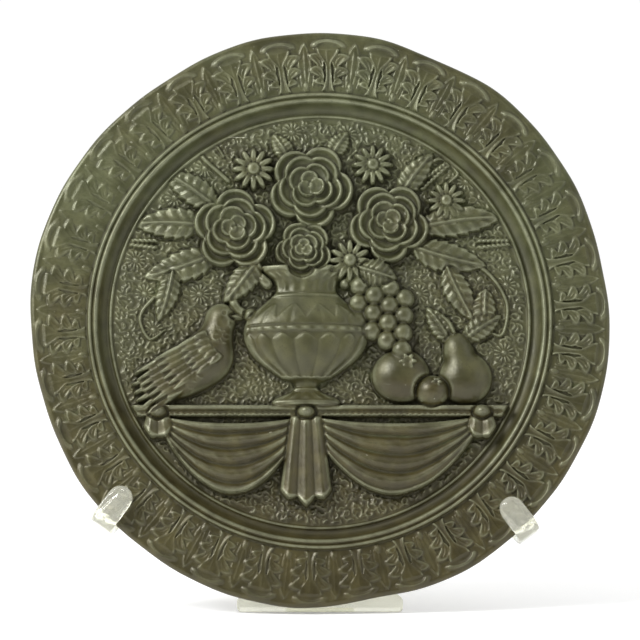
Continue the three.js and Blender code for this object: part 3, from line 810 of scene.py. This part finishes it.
def standing():
    """From the plaque's own frame in millimetres to the world in metres."""
    height = TABLE_GAP + RIM_RADIUS * math.cos(LEAN) + EDGE_THICKNESS * math.sin(LEAN)
    panel = BACK_Z - GAP - SHEET / 2
    foot = -(height + panel * math.sin(LEAN)) / math.cos(LEAN)
    depth = panel * math.cos(LEAN) - foot * math.sin(LEAN)
    turn = Matrix.Rotation(math.pi / 2 - LEAN, 4, "X")
    return Matrix.Scale(MM, 4) @ Matrix.Translation((0, depth, height)) @ turn


def new_object(name, points, faces):
    mesh = bpy.data.meshes.new(name)
    mesh.from_pydata(np.asarray(points, dtype=float), [], faces)
    piece = bpy.data.objects.new(name, mesh)
    bpy.context.collection.objects.link(piece)
    return piece


def grid_quads(columns, rows, wrap_columns=False, wrap_rows=False):
    """Quads between vertices numbered column by column."""
    i = np.arange(columns if wrap_columns else columns - 1)
    j = np.arange(rows if wrap_rows else rows - 1)
    i, j = (a.ravel() for a in np.meshgrid(i, j, indexing="ij"))
    i1, j1 = (i + 1) % columns, (j + 1) % rows
    return np.stack([i * rows + j, i1 * rows + j, i1 * rows + j1, i * rows + j1], axis=1)


def coordinates(mesh):
    flat = np.empty(len(mesh.vertices) * 3)
    mesh.vertices.foreach_get("co", flat)
    return flat.reshape(-1, 3)


def simplified(piece, triangles):
    """Collapse a piece's flat places until it has about the given number of triangles."""
    depsgraph = bpy.context.evaluated_depsgraph_get()
    before = piece.evaluated_get(depsgraph).data
    before.calc_loop_triangles()
    modifier = piece.modifiers.new("fewer", "DECIMATE")
    modifier.ratio = min(1, triangles / len(before.loop_triangles))
    modifier.use_collapse_triangulate = True
    depsgraph = bpy.context.evaluated_depsgraph_get()
    piece.data = bpy.data.meshes.new_from_object(piece.evaluated_get(depsgraph))
    piece.modifiers.clear()
    piece.data.name = piece.name
    return piece


def paint(piece, name, values):
    """Store one number for each vertex."""
    attribute = piece.data.attributes.new(name, "FLOAT", "POINT")
    attribute.data.foreach_set("value", np.asarray(values, dtype=np.float32))


def finish_casting(piece, sharp_degrees):
    """Stand the piece in its place, with smooth shading except at true corners."""
    piece.data.transform(standing())
    piece.data.shade_smooth()
    piece.data.set_sharp_from_angle(angle=math.radians(sharp_degrees))
    piece.data.materials.append(bronze)
    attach(piece, "root")
    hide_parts("plaque")


def disc_points(count, radius):
    """A square grid of points bent to fill a disc."""
    a, b = np.meshgrid(np.linspace(-1, 1, count), np.linspace(-1, 1, count), indexing="ij")
    wide = np.abs(a) > np.abs(b)
    reach = np.where(wide, a, b)
    safe = np.where(reach == 0, 1, reach)
    angle = np.where(wide, math.pi / 4 * b / safe, math.pi / 2 - math.pi / 4 * a / safe)
    return radius * reach * np.cos(angle), radius * reach * np.sin(angle)


def back_height(x, y):
    """The casting's plain back: a flat disc with a sloping skirt, never quite even."""
    radius = np.hypot(x, y)
    skirt = np.interp(radius, (0, 97, 99, RIM_RADIUS), (BACK_Z, BACK_Z, BACK_Z + 2, -EDGE_THICKNESS))
    uneven = 0.12 * noise(x, y, 30, 60, 3) + 0.05 * noise(x, y, 4, 61, 2)
    return skirt + uneven + 0.16


def make_field_piece():
    field = carve_field()
    field.z = blurred(field.z, FIELD_BLUR)
    field.z += 0.10 * noise(field.x, field.y, 11, 71) + 0.035 * noise(field.x, field.y, 1.6, 72)
    away = np.hypot(field.x, field.y)
    field.z *= smooth(FIELD_RADIUS + 0.6, FIELD_RADIUS - 0.6, away)
    count = 640
    x, y = disc_points(count, SEAM_RADIUS + 0.02)
    radius = np.hypot(x, y)
    z = np.interp(radius, *np.array(FIELD_PROFILE).T) + field.at(x, y)
    z += 0.05 * noise(x, y, 5, 73) * smooth(89, 92, radius)
    top = np.stack([x.ravel(), y.ravel(), z.ravel()], axis=1)
    quads = grid_quads(count, count)

    number = np.arange(count * count).reshape(count, count)
    edge = np.concatenate([number[0, :-1], number[:-1, -1], number[-1, :0:-1], number[:0:-1, 0]])
    points, faces = [top], [quads[:, ::-1]]
    above = edge
    for share in (1, 0.985, 0.93, 0.84, 0.72, 0.58, 0.42, 0.26, 0.12):
        ring = top[edge] * share
        ring[:, 2] = back_height(ring[:, 0], ring[:, 1])
        below = sum(len(p) for p in points) + np.arange(len(edge))
        points.append(ring)
        faces.append(np.stack([above, below, np.roll(below, -1), np.roll(above, -1)], axis=1))
        above = below
    faces = [tuple(f) for part in faces for f in part.tolist()] + [tuple(above[::-1].tolist())]
    piece = new_object("plaque_field", np.concatenate(points), faces)
    simplified(piece, CASTING_TRIANGLES)

    local = coordinates(piece.data)
    front = local[:, 2] > BACK_Z + 2.5
    whole = np.interp(away, *np.array(FIELD_PROFILE).T) + field.z
    for name, sigma in (("fine", 0.8), ("broad", 3.2)):
        field.z = whole - blurred(whole, sigma / field.step)
        paint(piece, name, np.where(front, field.at(local[:, 0], local[:, 1]), 0))
    finish_casting(piece, 75)
    return piece


# Round the rim's edge: out from the rim and down from the border's face.
EDGE_ROWS = ((-1.0, -0.1), (-0.5, -0.4), (-0.15, -0.9), (0, -1.6), (-0.1, -2.3), (-0.5, -2.9))


def make_border_piece():
    columns = LEAF_COUNT * 60
    angle = np.arange(columns) * TURN / columns
    rim = RIM_RADIUS + rim_offset(angle)
    ring_rows = np.linspace(SEAM_RADIUS, 101.4, 10)
    band = np.linspace(0, 1, 64)[1:]
    radius = np.concatenate([
        np.tile(ring_rows, (columns, 1)),
        101.4 + band[None, :] * (rim[:, None] - 1.7 - 101.4),
    ], axis=1)
    turn = np.tile(angle[:, None], (1, radius.shape[1]))
    x, y = radius * np.cos(turn), radius * np.sin(turn)
    z = border_height(turn, radius)
    z += 0.12 * noise(x, y, 14, 81) + 0.035 * noise(x, y, 1.8, 82)
    z += 0.25 * bump(rim[:, None] - radius, 1.9, 0.7)
    fine = z - blurred(z, 2.4, wrap=True)
    broad = z - blurred(z, 9, wrap=True)

    # Round the outer edge, then back to the seam behind.
    lip = z[:, -1:]
    outer = rim[:, None] + np.array([out for out, _ in EDGE_ROWS])
    outer_z = np.clip(lip, None, 0.3) * np.array([[0.8, 0.4, 0.1, 0, 0, 0]])
    outer_z = outer_z + np.array([down for _, down in EDGE_ROWS])
    behind = np.array([0.95, 0.75, 0.5, 0.25, 0.08, 0.0])
    inner = SEAM_RADIUS + behind[None, :] * (rim[:, None] - 1.2 - SEAM_RADIUS)
    turns = np.tile(angle[:, None], (1, inner.shape[1]))
    inner_z = back_height(inner * np.cos(turns), inner * np.sin(turns))

    radius = np.concatenate([radius, outer, inner], axis=1)
    rows = radius.shape[1]
    height = np.concatenate([z, outer_z, inner_z], axis=1)
    turns = np.tile(angle[:, None], (1, rows))
    points = np.stack([radius * np.cos(turns), radius * np.sin(turns), height], axis=2)
    quads = grid_quads(columns, rows, wrap_columns=True, wrap_rows=True)
    piece = new_object("plaque_border", points.reshape(-1, 3), quads[:, ::-1].tolist())
    extra = rows - z.shape[1]
    for name, values in (("fine", fine), ("broad", broad)):
        paint(piece, name, np.pad(values, ((0, 0), (0, extra))).ravel())
    simplified(piece, CASTING_TRIANGLES)
    finish_casting(piece, 75)
    return piece


def round_lips(points):
    """Swell the fronts of the hooks' lips, with two long hollows in each, as bent acrylic shows."""
    for tip in HOOK_TIPS:
        reach = math.hypot(*tip)
        out = np.array(tip) / reach
        along = points[:, :2] @ out - reach
        across = points[:, 1] * out[0] - points[:, 0] * out[1]
        share = np.hypot(across, np.minimum(along, 0)) / (ARM_WIDTH / 2)
        swell = LIP_SWELL * np.clip(1 - share**2, 0, 1)
        hollows = LIP_HOLLOW * bump(np.abs(across), 2.2, 0.7) * smooth(-3.5, -1, along)
        front = smooth(HOOK_FRONT + 1, HOOK_FRONT + SHEET - 0.4, points[:, 2])
        points[:, 2] += np.where(along > -ARM_WIDTH, (swell - hollows * (share < 1)) * front, 0)


def make_easel():
    """The CAD sheet with its edges rounded as flame-polished acrylic is."""
    source = frame_object("easel")
    mesh = source.data.copy()
    mesh.transform(standing().inverted() @ source.matrix_world)
    piece = bpy.data.objects.new("easel_sheet", mesh)
    bpy.context.collection.objects.link(piece)
    remesh = piece.modifiers.new("remesh", "REMESH")
    remesh.mode = "VOXEL"
    remesh.voxel_size = VOXEL
    rounding = piece.modifiers.new("rounding", "SMOOTH")
    rounding.factor = 0.9
    rounding.iterations = SMOOTHINGS
    simplified(piece, EASEL_TRIANGLES)
    mesh = piece.data
    points = coordinates(mesh)
    round_lips(points)
    mesh.vertices.foreach_set("co", points.ravel())
    mesh.transform(standing())
    mesh.materials.clear()
    mesh.materials.append(acrylic)
    mesh.shade_smooth()
    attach(piece, "root")
    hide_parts("easel")
    return piece


def frame_object(node):
    return next(o for o in bpy.data.objects if o.name == node or o.get("node") == node)


# ---------------------------------------------------------------- materials


def colour(red, green, blue):
    """An sRGB colour of 0 to 255, as the shader's linear values."""
    parts = [c / 255 for c in (red, green, blue)]
    linear = [c / 12.92 if c <= 0.04045 else ((c + 0.055) / 1.055) ** 2.4 for c in parts]
    return (*linear, 1)


def set_inputs(node, **values):
    """Plain values on a node's sockets; an underscore in a name stands for a space."""
    for name, value in values.items():
        node.inputs[name.replace("_", " ")].default_value = value


class Nodes:
    """Short names for building a material's node tree."""

    def __init__(self, name):
        self.material = bpy.data.materials.new(name)
        self.material.use_nodes = True
        self.tree = self.material.node_tree
        self.shader = self.tree.nodes["Principled BSDF"]

    def new(self, kind, **values):
        node = self.tree.nodes.new(kind)
        for key, value in values.items():
            setattr(node, key, value)
        return node

    def link(self, source, target):
        self.tree.links.new(source, target)

    def attribute(self, name):
        return self.new("ShaderNodeAttribute", attribute_name=name).outputs["Fac"]

    def place(self):
        return self.new("ShaderNodeTexCoord").outputs["Object"]

    def noise(self, scale, detail=4, roughness=0.55, stretch=None, turn=0.0):
        node = self.new("ShaderNodeTexNoise")
        set_inputs(node, Scale=scale, Detail=detail, Roughness=roughness)
        source = self.place()
        if stretch:
            mapping = self.new("ShaderNodeMapping")
            set_inputs(mapping, Scale=stretch, Rotation=(0, turn, 0))
            self.link(source, mapping.inputs["Vector"])
            source = mapping.outputs["Vector"]
        self.link(source, node.inputs["Vector"])
        return node.outputs["Fac"]

    def ramp(self, value, low, high, to_low=0.0, to_high=1.0):
        node = self.new("ShaderNodeMapRange", interpolation_type="SMOOTHSTEP")
        set_inputs(node, From_Min=low, From_Max=high, To_Min=to_low, To_Max=to_high)
        self.link(value, node.inputs["Value"])
        return node.outputs["Result"]

    def math(self, operation, a, b):
        node = self.new("ShaderNodeMath", operation=operation)
        for socket, value in zip(node.inputs, (a, b)):
            if isinstance(value, (int, float)):
                socket.default_value = value
            else:
                self.link(value, socket)
        return node.outputs[0]

    def mix(self, amount, a, b):
        node = self.new("ShaderNodeMix", data_type="RGBA")
        self.link(amount, node.inputs["Factor"])
        for name, value in (("A", a), ("B", b)):
            socket = next(s for s in node.inputs if s.name == name and s.type == "RGBA")
            if isinstance(value, tuple):
                socket.default_value = value
            else:
                self.link(value, socket)
        return next(s for s in node.outputs if s.type == "RGBA")


def make_bronze():
    """Old patinated bronze: olive green, browner in patches and low down, dark in the hollows with patina
    and painted shade, lighter on the ridges with wear and a painted highlight.
    """
    n = Nodes("bronze_patina")
    fine, broad = n.attribute("fine"), n.attribute("broad")
    patches = n.noise(14, 5, 0.6)
    mottle = n.noise(120, 6, 0.65)
    grain = n.noise(900, 4, 0.6)

    olive = n.mix(n.ramp(mottle, 0.3, 0.7), OLIVE_DARK, OLIVE)
    brown = n.mix(n.ramp(mottle, 0.35, 0.7), BROWN_DARK, BROWN)
    parts = n.new("ShaderNodeSeparateXYZ")
    n.link(n.place(), parts.inputs["Vector"])
    lower = n.ramp(parts.outputs["Z"], 0.2, 0.04, 0, 0.9)
    colours = n.mix(n.math("ADD", n.ramp(patches, 0.4, 0.7, 0, 0.7), lower), olive, brown)

    # Hollows take a dark patina, greenish in places. The same colour laid over the broad and fine hollows
    # of the relief is also painted shade, darkening them as shade would.
    green = n.math("MULTIPLY", n.ramp(n.noise(34, 3, 0.5), 0.52, 0.68), n.ramp(mottle, 0.35, 0.6))
    recess_patina_and_shade = n.mix(n.math("MULTIPLY", green, 0.7), HOLLOW_PATINA_AND_SHADE, VERDIGRIS)
    colours = n.mix(n.ramp(broad, -0.5, -2.2, 0, 0.4), colours, recess_patina_and_shade)
    colours = n.mix(n.ramp(fine, -0.03, -0.5, 0, 0.62), colours, recess_patina_and_shade)
    # Raised ridges are made lighter: partly rubbed wear on the high points, partly a painted highlight.
    rubbed = n.math("MULTIPLY", n.ramp(fine, 0.05, 0.45), n.ramp(mottle, 0.3, 0.6, 0.4, 0.9))
    colours = n.mix(n.math("MULTIPLY", rubbed, 0.62), colours, RUBBED_AND_HIGHLIGHT)
    pits = n.ramp(n.noise(480, 4, 0.7), 0.5, 0.66, 0, 0.4)
    colours = n.mix(pits, colours, HOLLOW_PATINA_AND_SHADE)

    specks = n.math("MULTIPLY", n.ramp(n.noise(420, 1, 0.5), 0.75, 0.79), n.ramp(patches, 0.5, 0.62))
    scratch = n.math("MULTIPLY", n.ramp(n.noise(60, 1, 0.4, (1, 1, 22), 1.1), 0.76, 0.78),
                     n.ramp(n.noise(26, 2, 0.5), 0.62, 0.68))
    marks = n.math("MAXIMUM", specks, scratch)
    colours = n.mix(n.math("MULTIPLY", marks, 0.5), colours, CHALK)
    rust = n.ramp(n.noise(21, 2, 0.5), 0.75, 0.8)
    colours = n.mix(n.math("MULTIPLY", rust, 0.6), colours, RUST)
    n.link(colours, n.shader.inputs["Base Color"])

    rough = n.math("ADD", n.ramp(mottle, 0.25, 0.75, 0.32, 0.46), n.ramp(fine, 0.0, -0.4, 0.0, 0.25))
    n.link(n.math("ADD", rough, n.ramp(grain, 0.3, 0.7, -0.03, 0.05)), n.shader.inputs["Roughness"])
    set_inputs(n.shader, Metallic=0.3, Specular_IOR_Level=0.6)

    relief = n.math("ADD", n.math("MULTIPLY", n.noise(330, 5, 0.65), 0.0002),
                    n.math("MULTIPLY", grain, 0.00004))
    bumped = n.new("ShaderNodeBump")
    set_inputs(bumped, Strength=0.8, Distance=1.0)
    n.link(relief, bumped.inputs["Height"])
    n.link(bumped.outputs["Normal"], n.shader.inputs["Normal"])
    return n.material


OLIVE = colour(91, 94, 62)
OLIVE_DARK = colour(68, 71, 44)
BROWN = colour(74, 67, 30)
BROWN_DARK = colour(55, 49, 21)
# Dark patina of the hollows, also used there as painted shade, and for small casting pits.
HOLLOW_PATINA_AND_SHADE = colour(48, 46, 25)
VERDIGRIS = colour(80, 88, 48)
# Pale colour of the rubbed high points, partly a painted highlight.
RUBBED_AND_HIGHLIGHT = colour(138, 141, 114)
CHALK = colour(205, 205, 185)
RUST = colour(120, 78, 44)


def make_acrylic():
    n = Nodes("clear_acrylic")
    set_inputs(n.shader, Base_Color=colour(255, 255, 240), Transmission_Weight=0.8, IOR=1.49)
    scuffs = n.ramp(n.noise(180, 3, 0.5), 0.45, 0.75, 0.03, 0.1)
    n.link(scuffs, n.shader.inputs["Roughness"])
    return n.material


# ---------------------------------------------------------------- stage, light and camera


def make_stage():
    floor = new_object("floor", [(-4, -4, 0), (4, -4, 0), (4, 4, 0), (-4, 4, 0)], [(0, 1, 2, 3)])
    n = Nodes("pale_floor")
    set_inputs(n.shader, Roughness=0.8, Emission_Color=(1, 1, 1, 1), Emission_Strength=0.22)
    tone = n.mix(n.noise(3, 2), colour(250, 250, 250), colour(247, 247, 247))
    n.link(tone, n.shader.inputs["Base Color"])
    floor.data.materials.append(n.material)

    world = bpy.data.worlds.new("studio")
    world.use_nodes = True
    tree = world.node_tree
    background = tree.nodes["Background"]
    place = tree.nodes.new("ShaderNodeTexCoord")
    parts = tree.nodes.new("ShaderNodeSeparateXYZ")
    fade = tree.nodes.new("ShaderNodeMapRange")
    fade.interpolation_type = "SMOOTHSTEP"
    set_inputs(fade, From_Min=-0.8, From_Max=-0.1, To_Min=WORLD_FRONT, To_Max=WORLD_BEHIND)
    tree.links.new(place.outputs["Generated"], parts.inputs["Vector"])
    tree.links.new(parts.outputs["Y"], fade.inputs["Value"])
    tree.links.new(fade.outputs["Result"], background.inputs["Strength"])
    background.inputs["Color"].default_value = (1, 1, 1, 1)
    bpy.context.scene.world = world


WORLD_FRONT = 0.22
WORLD_BEHIND = 1.02
LIGHT_AIM = (0, 0.02, 0.13)


def add_light(name, place, aim, size, power):
    data = bpy.data.lights.new(name, "AREA")
    data.shape = "RECTANGLE"
    data.size, data.size_y = size
    data.energy = power
    light = bpy.data.objects.new(name, data)
    light.location = place
    light.rotation_euler = (Vector(aim) - Vector(place)).to_track_quat("-Z", "Y").to_euler()
    bpy.context.collection.objects.link(light)


LENS = 300
SENSOR = 36
FRAME_WIDTH = 0.27735  # width of the view at the plaque
CAMERA_RISE = math.radians(4)
AIM = -0.25  # where the view's middle falls on the plaque's face


def make_camera():
    data = bpy.data.cameras.new("camera")
    data.lens, data.sensor_width = LENS, SENSOR
    data.clip_start = 0.01
    camera = bpy.data.objects.new("camera", data)
    away = FRAME_WIDTH / 2 / math.tan(math.atan(SENSOR / 2 / LENS))
    aim = standing() @ Vector((0, AIM, 0))
    camera.location = aim + away * Vector((0, -math.cos(CAMERA_RISE), math.sin(CAMERA_RISE)))
    camera.rotation_euler = (aim - camera.location).to_track_quat("-Z", "Y").to_euler()
    bpy.context.collection.objects.link(camera)
    bpy.context.scene.camera = camera


bpy.context.scene.view_settings.view_transform = "Standard"
bronze = make_bronze()
acrylic = make_acrylic()
make_camera()
make_stage()
add_light("key", (-0.8, -0.5, 0.85), LIGHT_AIM, (0.5, 0.5), 15)
add_light("fill", (0.9, -0.7, 0.5), LIGHT_AIM, (0.8, 0.8), 2.0)
make_field_piece()
make_border_piece()
make_easel()
